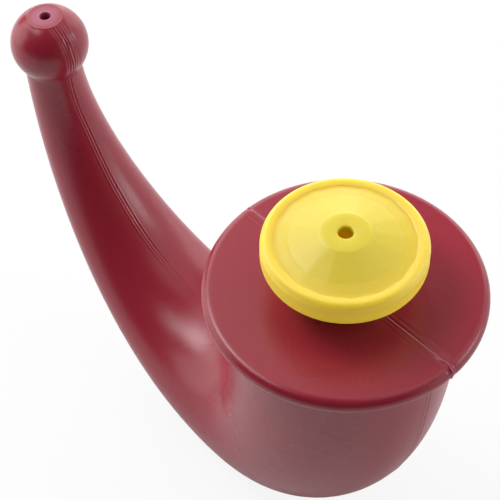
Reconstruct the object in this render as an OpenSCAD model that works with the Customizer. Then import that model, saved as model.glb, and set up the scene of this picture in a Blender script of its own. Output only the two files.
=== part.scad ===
// Nose-rinsing pot: a hollow horn blown in one piece, with a flat flange round
// its filling mouth and a ball at the spout's end, and a yellow push-in stopper
// with a vent hole. The stopper is blown in one piece too.
// Millimetres, +Z up, spout towards -X. The origin is on the resting face.

/* [Cup and flange] */
// height of the flange's top above the resting face
flange_z = 102; // [100:0.5:106]
// distance of the cup's axis from the origin, along +X
cup_x = 35; // [28:0.5:40]
// outer radius of the cup just under the flange
cup_r = 32.7; // [31:0.1:34]
// how far the flange stands out past the cup
flange_over = 6.3; // [5.5:0.1:11]
// thickness of the flange's hollow rim, which is fully rounded
rim_t = 4.9; // [4:0.1:6]
// wall of the blown pot
wall = 1.5; // [1.2:0.1:1.8]
// radius of the filling mouth
mouth_r = 12.5; // [11.5:0.1:13]
// how far the filling mouth lies off the cup's axis, towards the spout
mouth_in = 1; // [0:0.1:1.5]
// depth of the collar that guides the stopper, from the flange's top
collar_depth = 7; // [5:0.5:12]
// radius of the fillet where the cup runs out into the flange
flare = 2.4; // [1:0.1:3]

/* [Horn] */
// how far the lowest part of the horn's centre line lies from the cup's axis
bend_back = 44; // [38:0.5:50]
// height of the lowest part of the centre line above the resting face
bend_z = 19; // [18:0.1:19.5]
// how strongly the curve keeps straight down as it leaves the cup
cup_pull = 27; // [20:1:36]
// how strongly the curve stays level at its lowest part
bend_pull = 48; // [40:1:56]
// how strongly the curve stays upright as it reaches the ball
tip_pull = 34; // [26:1:42]
// half-width of the horn between cup and bend
mid_w = 30.5; // [29:0.1:32]
// half-width of the horn at its lowest part
bend_w = 25.2; // [24:0.1:27]
// half-width of the horn half-way up the spout
spout_w = 15.3; // [14:0.1:16.5]
// radius of the spout where it enters the ball
neck_r = 8.6; // [8.2:0.1:9]
// how much flatter than wide the spout is, as a share of its width
spout_flat = 0.25; // [0:0.01:0.3]
// how far the crook under the flange is filled out, as a share of the horn's height
crook_fill = 0.14; // [0.08:0.01:0.2]

/* [Nasal tip] */
// distance of the ball's centre from the cup's axis
tip_reach = 124; // [118:0.5:130]
// height of the ball's centre above the resting face
tip_z = 106.5; // [100:0.5:112]
// lean of the ball's axis away from the cup, in degrees
tip_lean = 2.5; // [0:0.5:8]
// outer radius of the ball
ball_r = 11.75; // [11:0.05:13]
// radius of the trimmed flat at the tip
trim_r = 5.6; // [5:0.1:6]
// radius of the outlet hole
outlet_r = 1.65; // [1.2:0.05:2.2]

/* [Stopper] */
// largest radius of the stopper's head
head_r = 22.45; // [21.5:0.05:25]
// height of the head's underside above the flange
head_under = 9.7; // [9:0.1:12]
// height of the head's rim
head_rim = 8.8; // [8:0.1:9.5]
// rounding of the rim's upper edge
head_round = 2.5; // [2:0.1:2.8]
// rounding of the head's lower edge
head_low = 3; // [2:0.1:4]
// radius of the stem that stands on the flange
stem_r = 14.1; // [13.5:0.1:15]
// how far the plug reaches into the mouth
plug_depth = 9; // [6:0.5:12]
// play between plug and mouth, on the radius
plug_play = 0.1; // [0.05:0.01:0.2]
// wall of the blown stopper
cap_wall = 1.6; // [1.3:0.1:1.9]
// distance of the dome's foot from the head's edge
dome_in = 3.25; // [3:0.05:4]
// depth of the groove between the rim and the dome's foot
groove = 1.6; // [1:0.1:1.8]
// how far the groove's outer side leans back
groove_lean = 1.1; // [0.6:0.1:1.2]
// rise of the facetted dome above its foot
dome_rise = 4.2; // [3.6:0.1:5]
// width of the outer row of facets, seen from above
row_w = 3.75; // [3:0.05:4.5]
// rise of the outer row of facets
row_rise = 1.5; // [1.2:0.1:1.8]
// radius of the smooth boss on top of the dome
boss_r = 7.1; // [6.5:0.1:8]
// height of the boss above the facets
boss_h = 0.25; // [0.1:0.05:0.6]
// number of facets in each of the dome's two rows
facets = 16; // [14:1:20]
// turn of the facets about the stopper's axis, in degrees
facet_turn = 4; // [0:0.5:22]
// radius of the vent hole
vent_r = 2.1; // [1.5:0.1:2.6]

/* [Hidden] */
// steps round the horn and along it
around = 48;
along = 40;
flange_r = cup_r + flange_over;
mouth_x = cup_x - mouth_in;
// the horn's top edge ends inside the underside of the rim
horn_top = flange_z - rim_t + wall / 2;
bend_x = cup_x - bend_back;
ball_x = cup_x - tip_reach;
// the spout ends inside the ball's wall, this far below the ball's centre
neck_depth = 0.6;
neck_drop = sqrt(pow(ball_r - neck_depth, 2) - pow(neck_r, 2));
neck_x = ball_x + neck_drop * sin(tip_lean);
neck_z = tip_z - neck_drop * cos(tip_lean);
// the level pull past the bend that keeps the curvature even through it
rise_in = horn_top - cup_pull - bend_z;
rise_out = neck_z - tip_pull * cos(tip_lean) - bend_z;
bend_pull_out = bend_pull * sqrt(rise_out / rise_in);
curve_down = [[cup_x, horn_top], [cup_x, horn_top - cup_pull],
    [bend_x + bend_pull, bend_z], [bend_x, bend_z]];
curve_up = [[bend_x, bend_z], [bend_x - bend_pull_out, bend_z],
    [neck_x + tip_pull * sin(tip_lean), neck_z - tip_pull * cos(tip_lean)],
    [neck_x, neck_z]];
widths = [cup_r, mid_w, bend_w, spout_w, neck_r];
// the middle of the wall, where the pieces of the pot overlap
mid_wall = wall / 2;
// how far cuts run past the faces that they cut
over = 1;
eps = 0.01;
plug_r = mouth_r - plug_play;
dome_r = head_r - dome_in;
row_r = dome_r - row_w;
dome_z = head_under + head_rim - groove;
boss_z = dome_z + dome_rise;
// the facets reach this far down into the head
dome_sink = 0.1;
// how far the boss reaches past the ends of the facets
boss_lap = 0.15;

// a point of a cubic curve, and its direction
function cubic(p, t) = pow(1 - t, 3) * p[0] + 3 * t * pow(1 - t, 2) * p[1]
    + 3 * t * t * (1 - t) * p[2] + pow(t, 3) * p[3];
function cubic_way(p, t) = pow(1 - t, 2) * (p[1] - p[0])
    + 2 * t * (1 - t) * (p[2] - p[1]) + t * t * (p[3] - p[2]);
function unit(v) = v / norm(v);

// s runs from 0 at the flange, through 1 at the bend, to 2 at the ball
function centre(s) = s <= 1 ? cubic(curve_down, s) : cubic(curve_up, s - 1);
function way(s) = unit(s <= 1 ? cubic_way(curve_down, s) : cubic_way(curve_up, s - 1));

// a smooth curve through the five half-widths, spaced evenly in s
function share(s, i, j) = j > 4 ? 1
    : (j == i ? 1 : (2 * s - j) / (i - j)) * share(s, i, j + 1);
function half_width(s, i = 0) = i > 4 ? 0
    : widths[i] * share(s, i, 0) + half_width(s, i + 1);
function flatter(s) = 1 - spout_flat * pow(sin(120 * max(s - 0.5, 0)), 2);
// the inside of the bend is eased, so that its sections never crowd together
function crook(s) = s < 0.15 || s > 1.25 ? 1
    : 1 - crook_fill * pow(sin(180 * (s - 0.15) / 1.1), 2);

// one point of the skin, lying `inset` inside the outer surface
function skin(s, a, inset, floor_z) = let (
    c = centre(s), d = way(s), w = half_width(s),
    side = cos(a) < 0 ? crook(s) : 1,
    up = (w * flatter(s) * side - inset) * cos(a),
    x = c[0] - d[1] * up, z = c[1] + d[0] * up)
    [x, (w - inset) * sin(a), max(z, floor_z)];

// the horn: an outer and an inner skin joined by a ring at each end
module horn() {
    ring = [for (j = [0 : around - 1]) 360 * j / around];
    outer = [for (i = [0 : along]) for (a = ring) skin(2 * i / along, a, 0, -bend_w)];
    inner = [for (i = [0 : along]) for (a = ring) skin(2 * i / along, a, wall, wall)];
    n = around;
    shift = len(outer);
    sides = [for (i = [0 : along - 1]) for (j = [0 : n - 1]) let (
        k = (j + 1) % n, p = i * n + j, q = i * n + k, r = p + n, t = q + n)
        each [[p, q, t], [p, t, r],
            [shift + p, shift + t, shift + q], [shift + p, shift + r, shift + t]]];
    last = along * n;
    ends = [for (j = [0 : n - 1]) let (k = (j + 1) % n)
        each [[j, shift + j, shift + k], [j, shift + k, k],
            [last + j, last + k, shift + last + k],
            [last + j, shift + last + k, shift + last + j]]];
    polyhedron(points = concat(outer, inner), faces = concat(sides, ends), convexity = 8);
}

// half section of the flange: a hollow, fully rounded rim and the fillet into
// the cup's wall
module flange_section() {
    round_x = flange_r - rim_t / 2;
    inner_t = rim_t - 2 * wall;
    // the fillet's centre, a little inwards so that its arc runs into the cup's wall
    fillet_x = cup_r + 0.85 * flare;
    difference() {
        union() {
            translate([0, -rim_t]) square([round_x, rim_t]);
            translate([round_x, -rim_t / 2]) circle(r = rim_t / 2, $fn = 96);
            difference() {
                translate([cup_r - mid_wall, -rim_t - flare])
                    square([fillet_x - cup_r + mid_wall, flare + eps]);
                translate([fillet_x, -rim_t - flare]) circle(r = flare, $fn = 96);
            }
        }
        translate([0, -rim_t + wall]) square([round_x, inner_t]);
        translate([round_x, -rim_t / 2]) circle(r = inner_t / 2, $fn = 96);
        translate([0, -rim_t - over]) square([cup_r - mid_wall, wall + over + eps]);
    }
}

// the ball: a hollow sphere, open below to the spout, trimmed flat on top
module ball() {
    trim_z = sqrt(ball_r * ball_r - trim_r * trim_r);
    difference() {
        sphere(r = ball_r, $fn = 96);
        difference() {
            sphere(r = ball_r - wall, $fn = 96);
            translate([-ball_r, -ball_r, trim_z - wall]) cube(2 * ball_r);
        }
        translate([-ball_r, -ball_r, trim_z]) cube(2 * ball_r);
        translate([0, 0, -ball_r]) cylinder(r = neck_r - mid_wall, h = ball_r, $fn = 96);
        cylinder(r = outlet_r, h = ball_r, $fn = 48);
    }
}

module pot() {
    color([0.52, 0.13, 0.19])
    difference() {
        union() {
            horn();
            translate([cup_x, 0, flange_z]) rotate_extrude($fn = 128) flange_section();
            translate([mouth_x, 0, flange_z - collar_depth])
                cylinder(r = mouth_r + wall, h = collar_depth - mid_wall, $fn = 96);
            translate([ball_x, 0, tip_z]) rotate([0, -tip_lean, 0]) ball();
        }
        // the filling mouth
        translate([mouth_x, 0, flange_z - collar_depth - over])
            cylinder(r = mouth_r, h = collar_depth + 2 * over, $fn = 96);
        // the resting face
        translate([bend_x - flange_z, -flange_r, -bend_w])
            cube([2 * flange_z, 2 * flange_r, bend_w]);
    }
}

// half section of the stopper's outside up to `high`, drawn `inset` inside its skin
module cap_outline(inset, high) {
    high_r = head_round - inset;
    low_r = head_low - inset;
    low = head_under + inset;
    translate([0, low]) square([head_r - head_low, high - low]);
    translate([head_r - head_low, low + low_r]) circle(r = low_r, $fn = 64);
    translate([0, low + low_r]) square([head_r - head_round, high - low - low_r]);
    translate([head_r - head_round, high - high_r]) circle(r = high_r, $fn = 64);
    translate([head_r - head_low, low + low_r]) square([low_r, high - low - low_r - high_r]);
    translate([0, -plug_depth - (inset > 0 ? over : 0)])
        square([plug_r - inset, plug_depth + over + low]);
    translate([0, inset]) square([stem_r - inset, low]);
}

// one row of flat facets between two radii
module facet_row(low_r, high_r, rise) {
    rotate(facet_turn)
    linear_extrude(height = rise, scale = high_r / low_r)
        polygon([for (i = [0 : facets - 1]) low_r * [cos(360 * i / facets), sin(360 * i / facets)]]);
}

module stopper() {
    color([0.93, 0.8, 0.24])
    translate([mouth_x, 0, flange_z])
    difference() {
        union() {
            difference() {
                rotate_extrude($fn = 128) cap_outline(0, head_under + head_rim);
                translate([0, 0, dome_z])
                    cylinder(r1 = dome_r, r2 = dome_r + 2 * groove_lean, h = 2 * groove, $fn = 128);
            }
            translate([0, 0, dome_z - dome_sink])
                facet_row(dome_r, row_r, row_rise + dome_sink);
            translate([0, 0, dome_z + row_rise]) facet_row(row_r, boss_r, dome_rise - row_rise);
            translate([0, 0, boss_z - cap_wall])
                cylinder(r = boss_r + boss_lap, h = cap_wall + boss_h, $fn = 96);
        }
        rotate_extrude($fn = 128) cap_outline(cap_wall, dome_z - cap_wall);
        translate([0, 0, dome_z - cap_wall - eps])
            cylinder(r1 = dome_r - cap_wall, r2 = boss_r, h = dome_rise, $fn = 96);
        cylinder(r = vent_r, h = 2 * boss_z, $fn = 48);
    }
}

pot();
stopper();
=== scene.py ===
# %% [markdown]
# A nose-rinsing pot, in the way its maker would think of it: a maroon horn blown from
# soft plastic, and a yellow stopper pushed into its filling mouth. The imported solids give
# the frame. This script lays a finer skin over each of the two, with the marks that the
# moulds and the trimming knife left, and then sets up the finishes, the light and the camera.

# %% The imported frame
import math
from collections import namedtuple

import bmesh
import bpy
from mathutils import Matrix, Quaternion, Vector, noise


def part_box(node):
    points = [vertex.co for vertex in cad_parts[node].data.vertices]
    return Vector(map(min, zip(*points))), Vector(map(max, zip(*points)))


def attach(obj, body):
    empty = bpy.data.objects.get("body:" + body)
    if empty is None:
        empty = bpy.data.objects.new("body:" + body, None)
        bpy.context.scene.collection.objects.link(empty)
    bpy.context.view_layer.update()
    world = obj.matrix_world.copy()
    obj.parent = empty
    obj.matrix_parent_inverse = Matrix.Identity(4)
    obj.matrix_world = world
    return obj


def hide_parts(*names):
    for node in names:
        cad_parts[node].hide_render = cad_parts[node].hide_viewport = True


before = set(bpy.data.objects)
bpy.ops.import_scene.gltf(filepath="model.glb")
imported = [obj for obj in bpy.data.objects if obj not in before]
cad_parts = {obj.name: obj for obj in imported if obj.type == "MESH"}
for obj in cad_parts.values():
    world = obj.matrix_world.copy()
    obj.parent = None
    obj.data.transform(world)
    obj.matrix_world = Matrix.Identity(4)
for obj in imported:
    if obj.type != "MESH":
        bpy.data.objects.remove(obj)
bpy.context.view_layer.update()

pot_low, pot_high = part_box("pot")
cap_low, cap_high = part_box("stopper")
MM = 0.001
print("pot box in mm:", [round(c / MM, 2) for c in (*pot_low, *pot_high)])

# %% [markdown]
# The camera comes first, so that every later step can be judged through it. It looks down
# steeply from the front right, from not quite half a metre. Its place was found by fitting
# the outlines of the flange, the ball and the stopper to the photograph. A short distance
# matters as much as the angle here: it makes the near stopper large and the far ball small.

# %% Camera
CAMERA_AZIMUTH = math.radians(46.893)
CAMERA_ELEVATION = math.radians(51.094)
CAMERA_ROLL = math.radians(-1.045)
CAMERA_DISTANCE = 0.45
AIM = Vector((0.01197, -0.01349, 0.10812))
PHOTO_WIDTH = 500
FOCAL_LENGTH_PIXELS = 1672.8

back = Vector((math.sin(CAMERA_AZIMUTH) * math.cos(CAMERA_ELEVATION),
               -math.cos(CAMERA_AZIMUTH) * math.cos(CAMERA_ELEVATION),
               math.sin(CAMERA_ELEVATION)))
camera_data = bpy.data.cameras.new("camera")
camera_data.sensor_width = 36
camera_data.lens = camera_data.sensor_width * FOCAL_LENGTH_PIXELS / PHOTO_WIDTH
camera = bpy.data.objects.new("camera", camera_data)
camera.location = AIM + CAMERA_DISTANCE * back
camera.rotation_mode = "QUATERNION"
camera.rotation_quaternion = ((-back).to_track_quat("-Z", "Y")
                              @ Quaternion((0, 0, 1), CAMERA_ROLL))
bpy.context.scene.collection.objects.link(camera)
bpy.context.scene.camera = camera
print("lens in mm:", round(camera_data.lens, 2))

# %% [markdown]
# The driving sizes of the pot, in millimetres, are those of its solid: the horn follows two
# cubic curves that meet at the lowest point of the bend, and its width runs smoothly through
# five half-widths. A point of a curve is written as a pair, x and z, because the horn lies in
# one plane. The meshes are built in millimetres too, and made metres at the very end.

# %% Sizes of the pot
WALL = 1.5
FLANGE_Z = 102.0
CUP_X = 35.0
FLANGE_R = (pot_high.x / MM) - CUP_X
RIM_T = 4.9
FILLET_R = 2.4
MOUTH_R = 12.5
MOUTH_X = (cap_low.x + cap_high.x) / 2 / MM
COLLAR_DEPTH = 7.0
HORN_WIDTHS = (32.7, 30.5, 25.2, 15.3, 8.6)
BEND = Vector((CUP_X - 44.0, 19.0))
CUP_PULL, BEND_PULL, TIP_PULL = 27.0, 48.0, 34.0
SPOUT_FLAT = 0.25
BALL_R = 11.75
BALL_CENTRE = Vector((CUP_X - 124.0, 106.5))
TIP_LEAN = math.radians(2.5)
NECK_DEPTH = 0.6
OUTLET_R = 1.65

TIP_AXIS = Vector((-math.sin(TIP_LEAN), math.cos(TIP_LEAN)))
NECK_DROP = math.sqrt((BALL_R - NECK_DEPTH) ** 2 - HORN_WIDTHS[-1] ** 2)
HORN_TOP = Vector((CUP_X, FLANGE_Z - RIM_T + WALL / 2))
NECK = BALL_CENTRE - NECK_DROP * TIP_AXIS
DOWN = Vector((0, -1))
LEVEL = Vector((-1, 0))
rise_in = HORN_TOP.y - CUP_PULL - BEND.y
rise_out = NECK.y - TIP_PULL * TIP_AXIS.y - BEND.y
BEND_PULL_OUT = BEND_PULL * math.sqrt(rise_out / rise_in)
curve_down = (HORN_TOP, HORN_TOP + CUP_PULL * DOWN, BEND - BEND_PULL * LEVEL, BEND)
curve_up = (BEND, BEND + BEND_PULL_OUT * LEVEL, NECK - TIP_PULL * TIP_AXIS, NECK)
print("flange radius:", round(FLANGE_R, 2), "neck at:", [round(c, 1) for c in NECK])

# %% [markdown]
# Along the horn s runs from 0 under the flange, through 1 at the bend, to 2 at the ball. The
# real horn has no straight stretch and no constant width, so both its path and its width are
# smooth curves. A few functions give them at any s, and everything that lies on the horn
# asks these functions.

# %% The horn's centre line and widths
def cubic(p, t):
    """A point of a cubic curve with the four control points p."""
    return ((1 - t) ** 3 * p[0] + 3 * t * (1 - t) ** 2 * p[1]
            + 3 * t * t * (1 - t) * p[2] + t ** 3 * p[3])


def cubic_way(p, t):
    """The direction of that curve."""
    return ((1 - t) ** 2 * (p[1] - p[0]) + 2 * t * (1 - t) * (p[2] - p[1])
            + t * t * (p[3] - p[2])).normalized()


def centre(s):
    return cubic(curve_down, s) if s <= 1 else cubic(curve_up, s - 1)


def way(s):
    return cubic_way(curve_down, s) if s <= 1 else cubic_way(curve_up, s - 1)


def half_width(s):
    """A smooth curve through the five half-widths, which are evenly spaced in s."""
    total = 0.0
    for i, width in enumerate(HORN_WIDTHS):
        others = [j for j in range(len(HORN_WIDTHS)) if j != i]
        total += width * math.prod((2 * s - j) / (i - j) for j in others)
    return total


def flatter(s):
    """The spout is a little flatter than wide."""
    return 1 - SPOUT_FLAT * math.sin(math.radians(120 * max(s - 0.5, 0))) ** 2


print("half-widths from the flange to the ball:",
      [round(half_width(s / 4), 1) for s in range(9)])

# %% [markdown]
# The pot is thought of as one row of sections, each an oval that stands square to the row at
# its own place. The horn's sections lie on its centre line. Those of the flange and the ball
# are circles about an axis. The row runs over the outside and back along the inside, because
# the blown pot is one closed wall.

# %% Sections of the pot
Section = namedtuple("Section", "at way deep side part run", defaults=[0.0])
FLANGE, RIM, HORN, BALL, TIP, INSIDE = range(6)


def on_section(section, a):
    """The point at angle a of a section, which is deep one way and wide the other."""
    up = section.deep * math.cos(a)
    return Vector((section.at.x - section.way.y * up, section.side * math.sin(a),
                   section.at.y + section.way.x * up))


def horn_section(s, inset, part):
    """The horn's section at s, drawn in by inset, which is one wall for the inside."""
    wide = half_width(s)
    return Section(centre(s), way(s), wide * flatter(s) - inset, wide - inset, part)


def about_upright(x, profile, part):
    """Sections of a shape that is round about an upright axis. z is counted from the flange."""
    return [Section(Vector((x, FLANGE_Z + z)), DOWN, r, r, part) for r, z in profile]


def about_tip(profile, part):
    """Sections of a shape that is round about the ball's axis, with z along that axis."""
    return [Section(BALL_CENTRE + z * TIP_AXIS, TIP_AXIS, r, r, part) for r, z in profile]


def with_runs(sections):
    """Adds to each section how far it lies along the row, in millimetres."""
    run = 0.0
    done = []
    for before, section in zip([sections[0], *sections], sections):
        run += (section.at - before.at).length
        done.append(section._replace(run=run))
    return done


bend_section = horn_section(1, 0, HORN)
print("half-widths at the bend:", round(bend_section.deep, 1), round(bend_section.side, 1))

# %% [markdown]
# A loft draws a skin through the row. It starts as one circle of vertices, and each further
# ring is extruded from the ring before it and moved on to its section. Extruding keeps every
# vertex joined to its own neighbour. The last ring is extruded on to the first, and the two
# are merged. Each vertex keeps its angle round the ring in a layer called turn, which
# extruding hands on from ring to ring, so that any ring can be placed by it.

# %% The loft
MERGE = 0.0001


def new_shell():
    """An empty mesh whose vertices can keep their part, their angle and their straight place."""
    shell = bmesh.new()
    shell.verts.layers.int.new("part")
    shell.verts.layers.float.new("turn")
    shell.verts.layers.float_vector.new("straight")
    return shell


def loft(shell, sections, around, spread, place):
    """Draws one closed skin through a row of sections and back to the first of them."""
    turn = shell.verts.layers.float["turn"]
    first = bmesh.ops.create_circle(shell, segments=around, radius=1)["verts"]
    for v in first:
        v[turn] = spread(math.atan2(v.co.y, v.co.x))
        place(v, v[turn], sections[0])
    edges = shell.edges[:]
    for section in sections[1:] + sections[:1]:
        pulled = bmesh.ops.extrude_edge_only(shell, edges=edges)["geom"]
        last = [e for e in pulled if isinstance(e, bmesh.types.BMVert)]
        edges = [e for e in pulled if isinstance(e, bmesh.types.BMEdge) and e.is_boundary]
        for v in last:
            place(v, v[turn], section)
    bmesh.ops.remove_doubles(shell, verts=first + last, dist=MERGE)
    bmesh.ops.recalc_face_normals(shell, faces=shell.faces)


# %% [markdown]
# The vertices of the pot are not spaced evenly round: they crowd together in the plane of
# symmetry, where the two mould halves met and left fine ridges, and spread out on the plain
# sides. That puts them where the marks are.
#
# Each vertex also keeps what the later steps need to know of it: the part of the pot that it
# belongs to, and its place on the horn when the horn is thought of as pulled straight, which
# lets a finish run along the horn.

# %% Vertices of the pot
AROUND = 192
CROWD = 0.85


def pot_place(shell):
    """How a vertex is moved on to a section of the pot."""
    part = shell.verts.layers.int["part"]
    straight = shell.verts.layers.float_vector["straight"]

    def place(v, a, section):
        v.co = on_section(section, a)
        v[part] = section.part
        v[straight] = (section.side * math.cos(a), section.side * math.sin(a), section.run)
    return place


def crowd(a):
    """Moves the vertices of a ring of the pot towards the plane of symmetry."""
    return a - CROWD * math.sin(2 * a) / 2


print("vertices crowd from", round(crowd(math.pi / 2 + 0.1) - crowd(math.pi / 2), 3),
      "to", round(crowd(0.1) - crowd(0), 3), "for a step of 0.1")

# %% [markdown]
# The flange, the ball and the stopper are round, so each is drawn as a turned part is: as a
# profile, a list of radius and height, made of straight stretches and arcs.

# %% Drawing a profile
def arc(x, z, radius, start, end, steps):
    """Points on a round stretch of a profile, by angles in degrees, both ends included."""
    angles = [math.radians(start + (end - start) * i / steps) for i in range(steps + 1)]
    return [(x + radius * math.cos(a), z + radius * math.sin(a)) for a in angles]


def line(a, b, steps):
    """Points on a straight stretch of a profile, without its first one."""
    return [(a[0] + (b[0] - a[0]) * i / steps, a[1] + (b[1] - a[1]) * i / steps)
            for i in range(1, steps + 1)]


print("a quarter turn in two steps:", [[round(c, 2) for c in p] for p in arc(0, 0, 1, 0, 90, 2)])

# %% [markdown]
# The outside, from the filling mouth outwards: the flat top of the flange, its fully rounded
# rim, the underside and a fillet that runs into the cup. Then come the horn itself and the
# crease where it enters the ball. The ball ends in a flat that a knife has cut, with a soft
# burr round the cut and round the outlet hole.
#
# The top of the flange has two stretches of rings. The outer one is finer, because the marks
# of the mould are wavy there.

# %% Sections of the outside
MOUTH_EDGE = 0.6
STEM_R = 14.1
RIM_R = RIM_T / 2
RIM_X = FLANGE_R - RIM_R
S_FIRST, S_LAST = 0.055, 1.984
HORN_STEPS = 200
FINE_FROM_R = 28.0

fillet_x = half_width(S_FIRST) + FILLET_R
fillet_z = centre(S_FIRST).y - FLANGE_Z
flange_inner = arc(MOUTH_R + MOUTH_EDGE, -MOUTH_EDGE, MOUTH_EDGE, 180, 90, 4)
flange_top = (line((STEM_R, 0), (FINE_FROM_R, 0), 14)
              + line((FINE_FROM_R, 0), (RIM_X, 0), 16))
rim = arc(RIM_X, -RIM_R, RIM_R, 90, -90, 22)[1:]
fillet = (line(rim[-1], (fillet_x, -RIM_T), 3)
          + line((fillet_x, -RIM_T), (fillet_x, fillet_z + FILLET_R), 1)
          + arc(fillet_x, fillet_z, FILLET_R, 90, 180, 8)[1:-1])
horn_places = [S_FIRST + (S_LAST - S_FIRST) * i / HORN_STEPS for i in range(HORN_STEPS + 1)]

outside = (about_upright(MOUTH_X, flange_inner, FLANGE)
           + about_upright(CUP_X, flange_top, FLANGE) + about_upright(CUP_X, rim + fillet, RIM)
           + [horn_section(s, 0, HORN) for s in horn_places])
print("sections of flange and horn:", len(outside))

# %% [markdown]
# Where the round spout enters the ball there is a tight crease, made as a short curve from
# the spout's skin to the ball's. The flat's radius was read off the photograph. The small
# numbers here are tenths of a millimetre of softness: a knife leaves a rounded edge in soft
# plastic, and pushes up a low burr round the hole that it opens.

# %% Sections of the ball and its trimmed tip
CREASE = 0.65
FLAT_R = 5.1
FLAT_EDGE_R = 5.6
FLAT_RISE = 0.16
BURR = 0.12
BURR_R = 2.4
TUNNEL = 3.4

neck_r = half_width(S_LAST)
crease_z = -math.sqrt(BALL_R ** 2 - neck_r ** 2)
ball_start = math.degrees(math.asin(crease_z / BALL_R)) + 4
ball_end = math.degrees(math.acos(FLAT_EDGE_R / BALL_R))
ball_skin = arc(0, 0, BALL_R, ball_start, ball_end, 38)
crease_from = (neck_r, crease_z - CREASE)
crease_to = ball_skin[0]
crease_path = [tuple((1 - t) ** 2 * a + 2 * t * (1 - t) * b + t * t * c
                     for a, b, c in zip(crease_from, (neck_r, crease_z), crease_to))
               for t in (0.25, 0.5, 0.75)]
flat_z = math.sqrt(BALL_R ** 2 - FLAT_EDGE_R ** 2) + FLAT_RISE
tip_edge = [(FLAT_EDGE_R - 0.08, flat_z - 0.05), (FLAT_R + 0.25, flat_z + 0.05),
            (FLAT_R, flat_z + 0.01)]
tip_flat = line((FLAT_R, flat_z), (BURR_R, flat_z), 10)
outlet = ([(2.15, flat_z + 0.03), (1.95, flat_z + BURR), (1.78, flat_z + 0.8 * BURR)]
          + [(OUTLET_R, flat_z - depth) for depth in (0.12, 0.5, 1.2, TUNNEL)])
outside += about_tip(crease_path + ball_skin, BALL) + about_tip(tip_edge + tip_flat + outlet, TIP)
print("sections of the outside:", len(outside))

# %% [markdown]
# The inside is the same way back at one wall's distance, with fewer rings, because only the
# light that falls through the holes ever meets it. It ends in the collar that guides the
# stopper. From there the loft goes on to its first ring, where it is merged with itself.

# %% Sections of the inside
INNER_STEPS = 60
INNER_FILLET = 0.6

inner_ball_r = BALL_R - WALL
inner_flat_z = flat_z - TUNNEL
inner_start = math.degrees(math.asin(inner_flat_z / inner_ball_r))
inner_neck = HORN_WIDTHS[-1] - WALL / 2
inner_end = -math.degrees(math.acos(inner_neck / inner_ball_r))
ball_inside = arc(0, 0, inner_ball_r, inner_start, inner_end, 12)
cup_inside_r = half_width(S_FIRST) - WALL
cavity_r = RIM_R - WALL
flange_inside = ([(cup_inside_r, -RIM_T), (cup_inside_r + INNER_FILLET, -RIM_T + WALL)]
                 + arc(RIM_X, -RIM_R, cavity_r, -90, 90, 6)
                 + [(MOUTH_R + 2 * WALL, -WALL)])
collar = [(MOUTH_R + WALL, -WALL), (MOUTH_R + WALL, -COLLAR_DEPTH), (MOUTH_R, -COLLAR_DEPTH)]
inner_places = [S_LAST - (S_LAST - S_FIRST) * i / INNER_STEPS for i in range(INNER_STEPS + 1)]
inside = (about_tip(ball_inside, INSIDE)
          + [horn_section(s, WALL, INSIDE) for s in inner_places]
          + about_upright(CUP_X, flange_inside, INSIDE)
          + about_upright(MOUTH_X, collar, INSIDE))
print("sections of the inside:", len(inside))

# %% [markdown]
# The marks. Where the mould halves met, the plastic crept a little into the gap, and the
# line was scraped afterwards. All of it is real relief here, so that it shows in the mesh
# and not only in the finish: each vertex near the mould line is pushed along its normal by a
# sum of narrow bumps, given by their place across the line, their width and their height in
# millimetres. A noise that changes slowly along the line keeps them from being straight.

# %% Bumps, sways and fades
def bump(y, at, width, height):
    """A low rounded ridge, or a groove if the height is negative, seen across the line."""
    return height * math.exp(-((y - at) / width) ** 2)


def sway(run, pitch, amount, seed):
    """A slow, irregular sideways shift along the mould line."""
    return amount * noise.noise(Vector((run / pitch, seed, 0.5)))


def fade(x, start, end):
    """0 before start and 1 past end, or the other way round if end is the smaller."""
    t = min(max((x - start) / (end - start), 0), 1)
    return t * t * (3 - 2 * t)


print("a bump half its width out:", round(bump(0.5, 0, 1, 1), 2), "of its height")

# %% [markdown]
# On the spout there are a few fine ridges side by side, deepest near the ball and gone where
# the flange overhangs the bend. On the ball the knife left a band of eleven cuts, and a crumb
# of plastic stands up in the middle of it.

# %% Marks on the spout and the ball
CUTS = 11
CUT_PITCH = 0.45
FIRST_CUT = -2.5


def spout_marks(y, run, at):
    """Height of the ridges at a place across (y) and along (run) the mould line."""
    shift = -0.75 + sway(run, 23, 0.5, 1.0)
    rough = 1 + 0.7 * noise.noise(Vector((run / 3.1, 7.0, y * 0.8)))
    ridges = (bump(y, shift - 0.95, 0.28, 0.07) - bump(y, shift - 0.5, 0.18, 0.03)
              + bump(y, shift - 0.10, 0.20, 0.08) - bump(y, shift + 0.45, 0.25, 0.07)
              + bump(y, shift + 0.95, 0.30, 0.05) - bump(y, shift - 1.5, 0.25, 0.03))
    return ridges * rough * fade(at.x, 6, -30) * (0.45 + 0.55 * fade(at.x, -30, -60))


def ball_marks(y, run, at):
    """Height of the knife's cuts, which lie in a band that is scraped a little lower."""
    cuts = sum((1 if k % 2 else -1) * bump(y, FIRST_CUT + CUT_PITCH * k + sway(run, 9, 0.3, k),
                                           0.17, 0.06 + sway(run, 4, 0.06, 50.0 + k))
               for k in range(CUTS))
    crumb = bump(y, -0.45 + sway(run, 3, 0.5, 30.0), 0.20, 0.32)
    middle = fade(at.y, 106, 108.5) * fade(at.y, 114.5, 112)
    scraped = 0.10 * fade(abs(y), 3.0, 1.8)
    return cuts - scraped + crumb * middle


on_ball = BALL_CENTRE + Vector((-BALL_R, 0))
print("cuts across the ball in mm:",
      [round(ball_marks(y / 2, 260.0, on_ball), 2) for y in range(-6, 7)])

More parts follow.
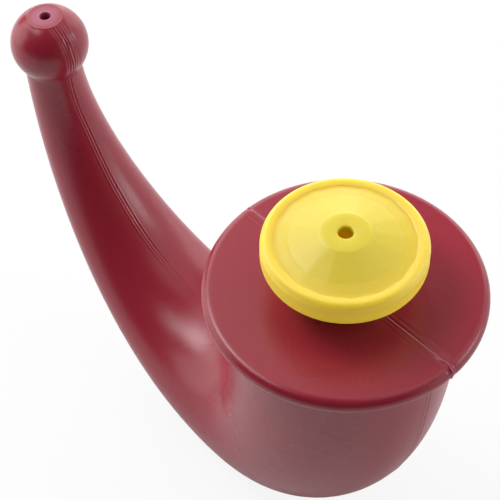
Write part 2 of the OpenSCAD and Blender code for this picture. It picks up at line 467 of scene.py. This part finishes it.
# %% [markdown]
# On the flange the mould line crosses the flat top on both sides of the mouth. In front it is
# two close pairs of ridge and groove. At the back the lines fan out towards the edge, and the
# last few millimetres are wavy, where the pinched plastic was trimmed. From there the line
# runs on down the back of the cup.

# %% Marks on the flange and the cup
def flange_front_marks(y, at):
    """Between the mouth and the spout's side of the rim."""
    near = fade(at.x, 12, 9)
    return near * (bump(y, 0.55, 0.24, 0.12) - bump(y, 0.05, 0.22, 0.13)
                   + bump(y, -1.85, 0.25, 0.07) - bump(y, -2.2, 0.25, 0.06))


def flange_back_marks(y, at):
    """Between the mouth and the far side of the rim. out is the distance from the cup's axis."""
    out = at.x - CUP_X
    fan = 1 + 0.012 * (out - 20)
    wavy = fade(out, 30.5, 33)
    lines = (-bump(y, 0.3 * fan, 0.2, 0.12) + bump(y, -0.2 * fan, 0.2, 0.06)
             + bump(y, -1.5 * fan, 0.3, 0.04) - bump(y, -2.1 * fan, 0.25, 0.05)
             + bump(y, 1.1 * fan, 0.3, 0.04) - bump(y, 1.7 * fan, 0.25, 0.05)
             + bump(y, 2.4 * fan, 0.35, 0.04))
    ridge = bump(y, 0.27 * math.sin(1.6 * out) - 0.1, 0.25, 0.22)
    dents = bump(y, 1.15, 0.35, 0.14) + bump(y, -1.5, 0.35, 0.10)
    return lines * (1 - 0.4 * wavy) + wavy * (ridge - dents)


def cup_back_marks(y, run):
    """Down the back of the cup and under the bend."""
    shift = sway(run, 30, 0.25, 12.0)
    return (bump(y, shift - 0.4, 0.25, 0.12) - bump(y, shift + 0.45, 0.5, 0.15)
            + bump(y, shift - 1.6, 0.3, 0.03))


print("marks near the flange's edge in mm:",
      [round(flange_back_marks(y / 2, Vector((CUP_X + 33, FLANGE_Z))), 2) for y in range(-5, 6)])

# %% [markdown]
# Which marks a vertex gets depends on the part that it belongs to, and on whether it is on
# the spout's side of the horn or on its back. They move it along its normal. The resting face
# stays a true plane, and nothing leaves the box of the solid.

# %% Putting the marks on
MARKS_REACH = 4.0


def mould_marks(part, front, y, run, at):
    """Height of the marks at a vertex of the outside, in millimetres."""
    if part == BALL:
        return ball_marks(y, run, at) if front else bump(y, 0, 0.25, 0.04)
    if part in (FLANGE, RIM):
        return flange_front_marks(y, at) if front else flange_back_marks(y, at)
    if part == HORN:
        return spout_marks(y, run, at) if front else cup_back_marks(y, run)
    return 0.0


def add_marks(shell):
    """Moves the vertices near the mould line along their normals, which stay as they were."""
    part = shell.verts.layers.int["part"]
    turn = shell.verts.layers.float["turn"]
    straight = shell.verts.layers.float_vector["straight"]
    shell.normal_update()
    for v in shell.verts:
        if v[part] != INSIDE and abs(v.co.y) < MARKS_REACH:
            at = Vector((v.co.x, v.co.z))
            front = math.cos(v[turn]) < 0
            v.co += mould_marks(v[part], front, v.co.y, v[straight].z, at) * v.normal


def settle(shell, low, high):
    """Flattens the resting face and keeps the skin inside the solid's box."""
    part = shell.verts.layers.int["part"]
    for v in shell.verts:
        v.co.z = max(v.co.z, WALL if v[part] == INSIDE else 0)
        for k in range(3):
            v.co[k] = min(max(v.co[k], low[k] / MM), high[k] / MM)


pot_shell = new_shell()
loft(pot_shell, with_runs(outside + inside), AROUND, crowd, pot_place(pot_shell))
add_marks(pot_shell)
settle(pot_shell, pot_low, pot_high)
print("the pot's skin is closed:", all(e.is_manifold for e in pot_shell.edges))

# %% [markdown]
# A finished mesh becomes an object at the origin, in metres. It moves with the body that it
# belongs to and takes the place of the plain solid, which stays there for the physics. Edges
# sharper than 50 degrees stay sharp, and all others are shaded as one smooth surface.

# %% Finishing a piece
SHARP = math.radians(50)


def finish_piece(shell, name, body):
    """Makes the mesh an object in metres that moves with a body and stands for a node."""
    bmesh.ops.scale(shell, vec=(MM, MM, MM), verts=shell.verts)
    mesh = bpy.data.meshes.new(name)
    shell.to_mesh(mesh)
    shell.free()
    mesh.shade_smooth()
    mesh.set_sharp_from_angle(angle=SHARP)
    piece = bpy.data.objects.new(name, mesh)
    bpy.context.scene.collection.objects.link(piece)
    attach(piece, body)
    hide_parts(body)
    print(name, "has", len(mesh.vertices), "vertices and", len(mesh.polygons), "faces")
    return piece


pot_skin = finish_piece(pot_shell, "pot_skin", "pot")

# %% [markdown]
# The stopper, also blown: a plug that guides it in the mouth, a stem whose shoulder stands on
# the flange, and a head like a mushroom's with a rounded rim. Its dome has two rows of
# sixteen flat facets round a smooth boss. It is a loft again. Its rings are circles, apart
# from those of the dome, which are sixteen-sided with corners rounded as the mould's were.
# Heights are counted from the flange.

# %% Sizes of the stopper
CAP_WALL = 1.6
HEAD_R = (cap_high.x - cap_low.x) / 2 / MM
HEAD_UNDER, HEAD_RIM = 9.7, 8.8
HEAD_ROUND, HEAD_LOW = 2.5, 3.0
PLUG_PLAY = 0.1
PLUG_R = MOUTH_R - PLUG_PLAY
PLUG_DEPTH = 9.0
FACETS = 16
FACET_TURN = math.radians(4)
RIM_WIDTH, ROW_WIDTH, DOME_SUNK = 3.25, 3.75, 1.6
DOME_R = HEAD_R - RIM_WIDTH
ROW_R = DOME_R - ROW_WIDTH
BOSS_R = 7.1
DOME_Z = HEAD_UNDER + HEAD_RIM - DOME_SUNK
ROW_RISE, DOME_RISE, BOSS_H = 1.5, 4.2, 0.25
VENT_R = 2.1
CAP_AROUND = FACETS * 12
CORNER_CROWD = 0.5
CORNER_SOFT = 9.0
print("stopper's radius:", round(HEAD_R, 2), "dome's:", round(DOME_R, 2))

# %% [markdown]
# A ring of the dome is the outline of sixteen straight sides. At each angle the nearest side
# counts, and a soft minimum of the three nearest sides rounds the corner between them. Its
# vertices crowd to the corners, where the rounding needs them.

# %% Rings of the stopper
def facet_radius(a, corner_r):
    """Radius of a sixteen-sided ring at angle a, with softened corners."""
    step = 2 * math.pi / FACETS
    apothem = corner_r * math.cos(step / 2)
    into = (a - FACET_TURN) % step
    sides = [apothem / math.cos(into - step / 2 - k * step) for k in (-1, 0, 1)]
    return -math.log(sum(math.exp(-CORNER_SOFT * r) for r in sides)) / CORNER_SOFT


def crowd_to_corners(a):
    """Moves the vertices of a ring of the stopper towards the corners of the facets."""
    return a + FACET_TURN - CORNER_CROWD * math.sin(FACETS * a) / FACETS


def cap_place(v, a, section):
    """Moves a vertex on to a ring of the stopper."""
    radius, z, facetted = section
    r = radius + facetted * (facet_radius(a, radius) - radius)
    v.co = (MOUTH_X + r * math.cos(a), r * math.sin(a), FLANGE_Z + z)


print("corner and middle of a side:", round(facet_radius(FACET_TURN, DOME_R), 2),
      round(facet_radius(FACET_TURN + math.pi / FACETS, DOME_R), 2))

# %% [markdown]
# The profile of the stopper is a list of radius, height and how facetted the ring is. It
# starts at the plug's lower edge and goes up the outside: the plug, the stem with a fillet
# under the head, and the head's rim, which is a quarter round below and above. BEAD_TOP is
# the inner side of the rim, from its crest down to the dome, as steps out from the crest's
# radius and down from its height.

# %% Profile of the plug, stem and rim
EDGE = 0.5
STEM_FILLET = 0.9
HEAD_TOP_R = HEAD_R - HEAD_ROUND
HEAD_LOW_R = HEAD_R - HEAD_LOW
HEAD_TOP = HEAD_UNDER + HEAD_RIM
BEAD_TOP = ((0.75, 0.26), (0.3, 0.27), (-0.1, 0.34), (-0.5, 0.44), (-0.85, 0.5))


def plain(points):
    """Marks rings as plain circles."""
    return [(r, z, 0.0) for r, z in points]


cap_profile = plain(
    arc(PLUG_R - EDGE, -PLUG_DEPTH + EDGE, EDGE, -90, 0, 4)
    + line((PLUG_R, -PLUG_DEPTH + EDGE), (PLUG_R, -0.05), 3)
    + [(PLUG_R + 0.02, 0.0)]
    + arc(STEM_R - EDGE, EDGE, EDGE, -90, 0, 4)
    + line((STEM_R, EDGE), (STEM_R, HEAD_UNDER - STEM_FILLET), 6)
    + arc(STEM_R + STEM_FILLET, HEAD_UNDER - STEM_FILLET, STEM_FILLET, 180, 90, 5)[1:]
    + line((STEM_R + STEM_FILLET, HEAD_UNDER), (HEAD_LOW_R, HEAD_UNDER), 4)
    + arc(HEAD_LOW_R, HEAD_UNDER + HEAD_LOW, HEAD_LOW, -90, 0, 12)[1:]
    + arc(HEAD_TOP_R, HEAD_TOP - HEAD_ROUND, HEAD_ROUND, 0, 64, 11)
    + [(HEAD_TOP_R + x, HEAD_TOP - z) for x, z in BEAD_TOP])
print("rings up to the dome:", len(cap_profile))

# %% [markdown]
# From there the profile goes over the dome, down the vent hole and back inside at one wall's
# distance. Short steps on both sides of each edge of the dome leave the facets flat and give
# the edges a narrow rounding. The boss on top is round again.

# %% Profile of the dome and the inside
VALLEY_Z = DOME_Z + 0.92
ROW_CROWN = 0.15
BOSS_Z = DOME_Z + DOME_RISE
VENT_EDGE = 0.45

dome_foot = (DOME_R - 0.1, VALLEY_Z - 0.12)
dome_row = (ROW_R, DOME_Z + ROW_RISE + ROW_CROWN)
dome_top = (BOSS_R, BOSS_Z)


def slope(low, high, share):
    """A point on the flat between two corners of the profile."""
    return tuple(a + (b - a) * share for a, b in zip(low, high))


cap_profile += [(dome_foot[0] - 0.05, VALLEY_Z, 0.5), (dome_foot[0] - 0.35, VALLEY_Z + 0.03, 0.9)]
cap_profile += [(*slope(dome_foot, dome_row, t), 1.0) for t in (0.2, 0.35, 0.6, 0.8, 0.93)]
cap_profile += [(ROW_R, dome_row[1] - 0.02, 1.0)]
cap_profile += [(*slope(dome_row, dome_top, t), 1.0) for t in (0.06, 0.25, 0.5, 0.75, 0.94)]
cap_profile += [(BOSS_R - 0.05, BOSS_Z, 0.7), (BOSS_R - 0.35, BOSS_Z + 0.12, 0.2)]
cap_profile += plain([(6.4, BOSS_Z + 0.2), (5.0, BOSS_Z + BOSS_H), (3.6, BOSS_Z + BOSS_H)]
                     + arc(VENT_R + VENT_EDGE, BOSS_Z + BOSS_H - VENT_EDGE, VENT_EDGE, 90, 180, 5)
                     + [(VENT_R, BOSS_Z - 0.5), (VENT_R, BOSS_Z + BOSS_H - CAP_WALL)])
cap_profile += plain([
    (BOSS_R - 0.6, BOSS_Z + BOSS_H - CAP_WALL), (DOME_R - CAP_WALL, DOME_Z - CAP_WALL + 0.4),
    (HEAD_TOP_R, DOME_Z - CAP_WALL), (HEAD_R - CAP_WALL, DOME_Z - CAP_WALL - 0.9),
    (HEAD_R - CAP_WALL, HEAD_UNDER + HEAD_LOW), (HEAD_LOW_R, HEAD_UNDER + CAP_WALL),
    (STEM_R - CAP_WALL, HEAD_UNDER + CAP_WALL), (STEM_R - CAP_WALL, CAP_WALL),
    (PLUG_R - CAP_WALL, CAP_WALL), (PLUG_R - CAP_WALL, -PLUG_DEPTH)])
print("rings of the stopper:", len(cap_profile), "highest at:",
      round(max(z for r, z, facetted in cap_profile), 2))

# %% [markdown]
# The stopper needs no marks. Its mesh is drawn by the same loft as the pot's, with its own
# spacing of vertices and its own way to place them.

# %% Building the stopper
cap_shell = new_shell()
loft(cap_shell, cap_profile, CAP_AROUND, crowd_to_corners, cap_place)
cap_skin = finish_piece(cap_shell, "stopper_skin", "stopper")

# %% [markdown]
# Finishes are node trees. Two small helpers keep them readable, and they serve for the light
# of the world at the end too. The first is a value that can be used in a sum: it stands for
# a socket, and adds the Math node by itself.

# %% A value in a finish
class Value:
    """An output socket that can be added, multiplied and so on."""

    def __init__(self, finish, socket):
        self.finish = finish
        self.socket = socket

    def maths(self, operation, first, second=0.0):
        return self.finish.node("Math", {"operation": operation}, {0: first, 1: second})

    def __add__(self, other):
        return self.maths("ADD", self, other)

    def __sub__(self, other):
        return self.maths("SUBTRACT", self, other)

    def __rsub__(self, other):
        return self.maths("SUBTRACT", other, self)

    def __mul__(self, other):
        return self.maths("MULTIPLY", self, other)

    __radd__ = __add__
    __rmul__ = __mul__


# %% [markdown]
# The second helper owns the node tree. Its node method adds any node by its type, with its
# settings and with what its sockets hold, and the other methods name the few nodes that both
# plastics use.

# %% A finish and its nodes
class Finish:
    """The nodes of a material, or of the world, under construction."""

    def __init__(self, owner):
        self.owner = owner
        owner.use_nodes = True
        self.tree = owner.node_tree
        self.tree.nodes.clear()

    def node(self, kind, settings=None, sockets=None, out=0):
        """Adds a node. Its settings come first, then what its sockets hold or link to."""
        made = self.tree.nodes.new("ShaderNode" + kind)
        for name, value in (settings or {}).items():
            setattr(made, name, value)
        for name, value in (sockets or {}).items():
            if isinstance(value, Value):
                self.tree.links.new(value.socket, made.inputs[name])
            else:
                made.inputs[name].default_value = value
        return Value(self, made.outputs[out]) if made.outputs else None

    def smooth(self, value, low, high):
        """Goes from 0 at the value low to 1 at the value high, with soft ends."""
        return self.node("MapRange", {"interpolation_type": "SMOOTHSTEP"},
                         {"Value": value, "From Min": low, "From Max": high})

    def grain(self, place, scale, detail=2.0, roughness=0.5):
        """Soft random blotches, about one over the scale in metres across."""
        return self.node("TexNoise", None, {"Vector": place, "Scale": scale, "Detail": detail,
                                            "Roughness": roughness})

    def stretched(self, place, factors):
        return self.node("VectorMath", {"operation": "MULTIPLY"}, {0: place, 1: factors})

    def distance(self, place, other):
        return self.node("VectorMath", {"operation": "DISTANCE"}, {0: place, 1: other},
                         out="Value")

    def blend_colours(self, share, first, second):
        """The Mix node has a set of sockets for each kind of value. 6, 7 and 2 are colours."""
        return self.node("Mix", {"data_type": "RGBA"}, {0: share, 6: first, 7: second}, out=2)

    def close(self, shader, kind="Material"):
        """Links the shader to the output and hands back the finished material or world."""
        self.node("Output" + kind, None, {"Surface": shader})
        print(self.owner.name, "has", len(self.tree.nodes), "nodes")
        return self.owner


# %% [markdown]
# The maroon plastic. It is a satin polyethylene: the surface has the fine dulled grain of
# the mould and long faint streaks that run along the horn. Where the knife has cut the tip
# the plastic is stressed and turns a milky pink. The streaks use the straightened place
# that each vertex kept, so that they bend with the horn. Radii are in millimetres.

# %% Maroon plastic
MAROON = (0.31, 0.019, 0.038, 1)
MAROON_DEEP = (0.29, 0.017, 0.034, 1)
CUT_PINK = (0.34, 0.075, 0.15, 1)
HOLE_RED = (0.46, 0.11, 0.17, 1)
PINK_ENDS_R, PINK_FULL_R, PINK_UNEVEN = 5.2, 3.8, 1.2
HOLE_ENDS_R, HOLE_FULL_R = 2.3, 1.9
STREAK_FINENESS = (2.2, 2.2, 0.3)
MAROON_RELIEF = 0.08
PLASTIC_IOR = 1.5


def maroon_plastic():
    f = Finish(bpy.data.materials.new("maroon_plastic"))
    place = f.node("TexCoord", out="Object")
    straight = f.node("Attribute", {"attribute_name": "straight"}, out="Vector")
    cloud = f.grain(place, 35)
    flat = BALL_CENTRE + flat_z * TIP_AXIS
    away = f.distance(place, Vector((flat.x, 0, flat.y)) * MM)
    cut = f.smooth(away + f.grain(place, 900) * (PINK_UNEVEN * MM),
                   PINK_ENDS_R * MM, PINK_FULL_R * MM)
    hole = f.smooth(away, HOLE_ENDS_R * MM, HOLE_FULL_R * MM)
    colour = f.blend_colours(cloud, MAROON, MAROON_DEEP)
    colour = f.blend_colours(cut * 0.7, colour, CUT_PINK)
    colour = f.blend_colours(hole, colour, HOLE_RED)
    peel = f.grain(place, 700, detail=1.0)
    streaks = f.grain(f.stretched(straight, STREAK_FINENESS), 1.0, detail=3.0, roughness=0.7)
    normal = f.node("Bump", None, {"Strength": 0.5, "Distance": MAROON_RELIEF * MM,
                                   "Height": peel * 0.4 + streaks * 0.6})
    return f.close(f.node("BsdfPrincipled", None, {
        "Base Color": colour, "Roughness": 0.24 + 0.08 * cloud + 0.06 * cut,
        "IOR": PLASTIC_IOR, "Normal": normal}))


pot_skin.data.materials.append(maroon_plastic())

# %% [markdown]
# The yellow plastic is the same kind, without streaks, but light gets into it: its shaded
# edges turn golden instead of dark. Subsurface scattering does this on the dome. Its reach
# is in millimetres for red, green and blue, and red light goes furthest. The hollow rim is
# so thin that light passes through it from all round, more than the scattering gives. So
# that light is painted on: the rim glows by emission, full at its underside and dimmed
# towards its crest.

# %% Yellow plastic
YELLOW = (0.85, 0.62, 0.054, 1)
YELLOW_DEEP = (0.82, 0.59, 0.045, 1)
YELLOW_RIM = (0.77, 0.57, 0.060, 1)
NO_GLOW = (0, 0, 0, 1)
# Painted light: an emission colour on the rim, in place of the light that shines through it.
PAINTED_RIM_LIGHT = (0.25, 0.19, 0.012, 1)
RIM_STARTS_R, RIM_FULL_R = DOME_R - 0.6, DOME_R + 1.2
CREST_DIMMED = 0.55
LIGHT_REACH = (5.0, 4.2, 1.3)
YELLOW_RELIEF = 0.05


def yellow_plastic():
    f = Finish(bpy.data.materials.new("yellow_plastic"))
    place = f.node("TexCoord", out="Object")
    cloud = f.grain(place, 60)
    from_axis = f.distance(f.stretched(place, (1, 1, 0)), (MOUTH_X * MM, 0, 0))
    rim = f.smooth(from_axis, RIM_STARTS_R * MM, RIM_FULL_R * MM)
    height = f.node("SeparateXYZ", None, {0: place}, out="Z")
    crest = f.smooth(height, (FLANGE_Z + HEAD_UNDER + HEAD_LOW) * MM, (FLANGE_Z + HEAD_TOP) * MM)
    colour = f.blend_colours(cloud, YELLOW, YELLOW_DEEP)
    colour = f.blend_colours(rim, colour, YELLOW_RIM)
    # Painted light on the rim: the emission glow, full below and dimmed towards the crest.
    glow = f.blend_colours(rim * (1 - CREST_DIMMED * crest), NO_GLOW, PAINTED_RIM_LIGHT)
    peel = f.grain(place, 500, detail=1.0)
    normal = f.node("Bump", None, {"Strength": 0.2, "Distance": YELLOW_RELIEF * MM,
                                   "Height": peel})
    return f.close(f.node("BsdfPrincipled", None, {
        "Base Color": colour, "Roughness": 0.34 + 0.06 * cloud,
        "IOR": PLASTIC_IOR, "Normal": normal,
        "Subsurface Weight": 1.0, "Subsurface Radius": LIGHT_REACH, "Subsurface Scale": MM,
        "Emission Color": glow, "Emission Strength": 1.0}))


cap_skin.data.materials.append(yellow_plastic())

# %% [markdown]
# The pot stands on the plain white sweep of a product photograph, which is white to its
# edges. A white floor that is only lit would turn grey there, so the camera sees it mostly
# as a white glow, and for the rest as a matt surface, which keeps a soft shadow. To all other
# rays it is the matt surface alone, so the glow puts no extra light on the pot.

# %% Floor
FLOOR_SIZE = 3.0
FLOOR_GLOW_SHARE = 0.88
WHITE = (1, 1, 1, 1)
MATT_WHITE = (0.86, 0.86, 0.86, 1)


def white_sweep():
    f = Finish(bpy.data.materials.new("white_sweep"))
    seen = f.node("LightPath", out="Is Camera Ray")
    matt = f.node("BsdfDiffuse", None, {"Color": MATT_WHITE})
    glow = f.node("Emission", None, {"Color": WHITE, "Strength": 1.0})
    return f.close(f.node("MixShader", None, {0: seen * FLOOR_GLOW_SHARE, 1: matt, 2: glow}))


floor_shape = bmesh.new()
bmesh.ops.create_grid(floor_shape, x_segments=1, y_segments=1, size=FLOOR_SIZE / 2)
floor_mesh = bpy.data.meshes.new("floor")
floor_shape.to_mesh(floor_mesh)
floor_shape.free()
floor = bpy.data.objects.new("floor", floor_mesh)
bpy.context.scene.collection.objects.link(floor)
floor_mesh.materials.append(white_sweep())

# %% [markdown]
# The highlights in the photograph tell where its softboxes stood. Small ones make the bright
# patch inside the bend, those on the ball and on the spout, and the glint on the rim of the
# flange. Two wide ones above light the flange and the stopper. A low ring of five gives the
# round sides of ball, spout and cup their pale edges. Each is a square area lamp that faces
# the middle of the pot. Azimuth 0 is behind the cup, and 180 is behind the ball.

# %% Softboxes
LAMP_DISTANCE = 1.1
LOW_RING_SIZE = 0.9
MIDDLE = Vector((0, 0, 0.06))


def softbox(name, azimuth, elevation, size, power):
    """A square area lamp that faces the pot. Angles are in degrees, its power in watts."""
    azimuth, elevation = math.radians(azimuth), math.radians(elevation)
    direction = Vector((math.cos(azimuth) * math.cos(elevation),
                        math.sin(azimuth) * math.cos(elevation), math.sin(elevation)))
    lamp = bpy.data.lights.new(name, "AREA")
    lamp.shape = "SQUARE"
    lamp.size = size
    lamp.energy = power
    made = bpy.data.objects.new(name, lamp)
    made.location = MIDDLE + LAMP_DISTANCE * direction
    made.rotation_mode = "QUATERNION"
    made.rotation_quaternion = (-direction).to_track_quat("-Z", "Y")
    bpy.context.scene.collection.objects.link(made)


softbox("key_left", -161, 52, 0.42, 3.9)
softbox("key_front", -125, 60, 0.35, 1.4)
softbox("glint", 46, 24, 0.35, 1.4)
softbox("high_left", 177, 50, 1.0, 4.8)
softbox("high_back", 60, 60, 0.9, 2.6)
low_ring = ((-150, 12, 5.3), (150, 20, 4.5), (110, 14, 4.4), (70, 14, 2.6), (30, 14, 2.8))
for azimuth, elevation, power in low_ring:
    softbox("low_" + str(azimuth % 360), azimuth, elevation, LOW_RING_SIZE, power)
print("softboxes:", len(bpy.data.lights))

# %% [markdown]
# The world is white to the camera, and otherwise so faint that it only lifts the deepest
# shadows a little. The softboxes give the light.

# %% World
AMBIENT = 0.01


def studio():
    f = Finish(bpy.data.worlds.new("studio"))
    seen = f.node("LightPath", out="Is Camera Ray")
    faint = f.node("Background", None, {"Color": WHITE, "Strength": AMBIENT})
    white = f.node("Background", None, {"Color": WHITE, "Strength": 1.0})
    return f.close(f.node("MixShader", None, {0: seen, 1: faint, 2: white}), "World")


bpy.context.scene.world = studio()
bpy.context.scene.view_settings.view_transform = "Standard"
